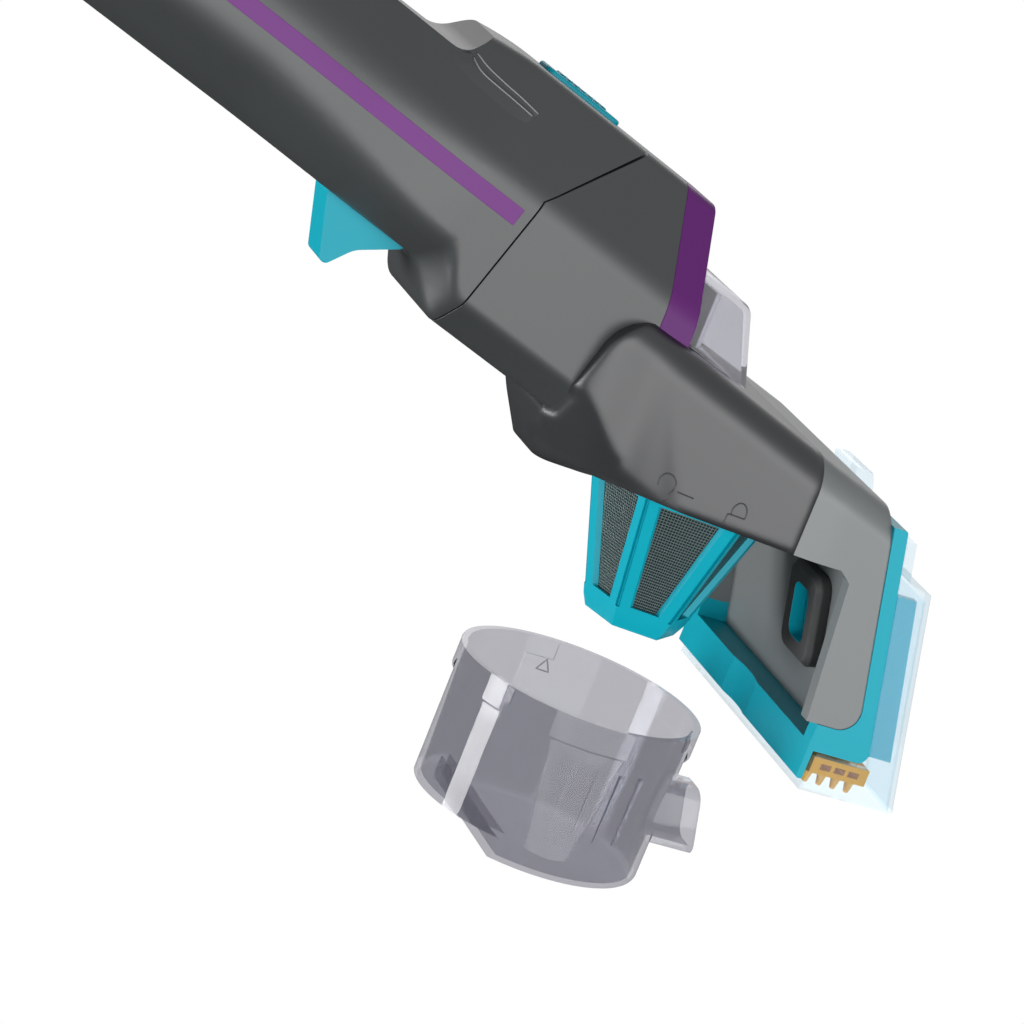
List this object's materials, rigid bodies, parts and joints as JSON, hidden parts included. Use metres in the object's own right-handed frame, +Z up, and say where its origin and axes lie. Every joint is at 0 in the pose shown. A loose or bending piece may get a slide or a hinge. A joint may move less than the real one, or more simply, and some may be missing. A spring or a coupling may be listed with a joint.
{
  "type": "handheld vacuum cleaner",
  "caption": "Cordless handheld vacuum with tilted motor handle, wide clear nozzle with rubber comb, conical cage filter and a clear dust bin shown pulled off below its collar",
  "frame": {"origin": "centre of the grip on the handle's axis", "axes": "+X to the nozzle, +Z up, +Y to the machine's left seen from behind; the handle's axis drops 18.6 degrees to the front"},
  "size_m": [0.344, 0.108, 0.2599],
  "materials": {
    "grey_shell": "satin moulded",
    "dark_shell": "satin moulded",
    "purple_trim": "gloss moulded",
    "teal_plastic": "gloss moulded",
    "clear_plastic": "polished clear",
    "orange_rubber": "soft moulded",
    "black_rubber": "soft moulded",
    "steel": "brushed",
    "motor_steel": "plated",
    "iron": "sintered",
    "aluminium": "cast",
    "paper": "pleated felt",
    "white_plastic": "gloss moulded",
    "black_plastic": "matt moulded",
    "board": "lacquered board",
    "cell_wrap": "wrapped cell"
  },
  "bodies": {
    "main": {"handle_lower_shell": "grey_shell", "handle_upper_shell": "grey_shell", "tail_cap": "grey_shell", "stripe_right": "purple_trim", "stripe_left": "purple_trim", "trigger_pin": "steel", "trigger_spring": "steel", "trigger_switch": "black_plastic", "button_board": "board", "button_switch": "black_plastic", "control_board": "board", "battery_cells": "cell_wrap", "battery_holder": "black_plastic", "charge_jack": "black_plastic", "charge_contact": "steel", "housing_screws": "steel", "motor_housing": "grey_shell", "joint_spigot": "black_plastic", "nose_ring": "purple_trim", "nose_plate": "dark_shell", "lamp_lens": "clear_plastic", "lamp_board": "white_plastic", "lamp_leds": "white_plastic", "motor_can": "motor_steel", "motor_magnets": "iron", "motor_end_bell": "aluminium", "rear_bearing": "steel", "front_bearing": "steel", "motor_mount_rear": "black_plastic", "motor_mount_front": "black_plastic", "fan_shroud": "black_plastic", "neck_housing": "dark_shell", "nozzle_frame": "dark_shell", "nozzle_base": "teal_plastic", "port_gasket": "black_rubber"},
    "trigger": {"trigger": "teal_plastic"},
    "power_button": {"power_button": "teal_plastic"},
    "rotor": {"motor_shaft": "steel", "rotor_core": "iron", "impeller": "white_plastic"},
    "lock_ring": {"bin_lock_ring": "dark_shell", "bin_seal": "black_rubber"},
    "dust_bin": {"dust_bin": "clear_plastic"},
    "filter": {"filter_cage": "teal_plastic", "filter_mesh": "steel", "pleated_filter": "paper", "filter_seal": "black_rubber"},
    "nozzle_cover": {"nozzle_cover": "clear_plastic", "rubber_comb": "orange_rubber"}
  },
  "joints": [
    {"name": "trigger_pull", "type": "hinge", "parent": "main", "child": "trigger", "pos_m": [0.07387, 0, -0.04385], "axis": [0, 1, 0], "range_deg": [0, 7], "stiffness_Nm_per_rad": 0.6},
    {"name": "button_press", "type": "slide", "parent": "main", "child": "power_button", "axis": [-0.319, 0, -0.9478], "range_m": [0, 0.0015], "stiffness_N_per_m": 1200},
    {"name": "rotor_spin", "type": "hinge", "parent": "main", "child": "rotor", "pos_m": [0.11309, 0, -0.04017], "axis": [0.9478, 0, -0.319], "continuous": true},
    {"name": "bin_lock", "type": "hinge", "parent": "main", "child": "lock_ring", "pos_m": [0.1845, 0, -0.0949], "axis": [0, 0, 1], "range_deg": [-30, 0]},
    {"name": "bin_drop", "type": "slide", "parent": "main", "child": "dust_bin", "axis": [-0.0918, 0, -0.9958], "range_m": [-0.0708, 0]},
    {"name": "filter_pull", "type": "slide", "parent": "main", "child": "filter", "axis": [0, 0, -1], "range_m": [0, 0.045]},
    {"name": "nozzle_release", "type": "slide", "parent": "main", "child": "nozzle_cover", "axis": [1, 0, 0], "range_m": [0, 0.03]}
  ]
}
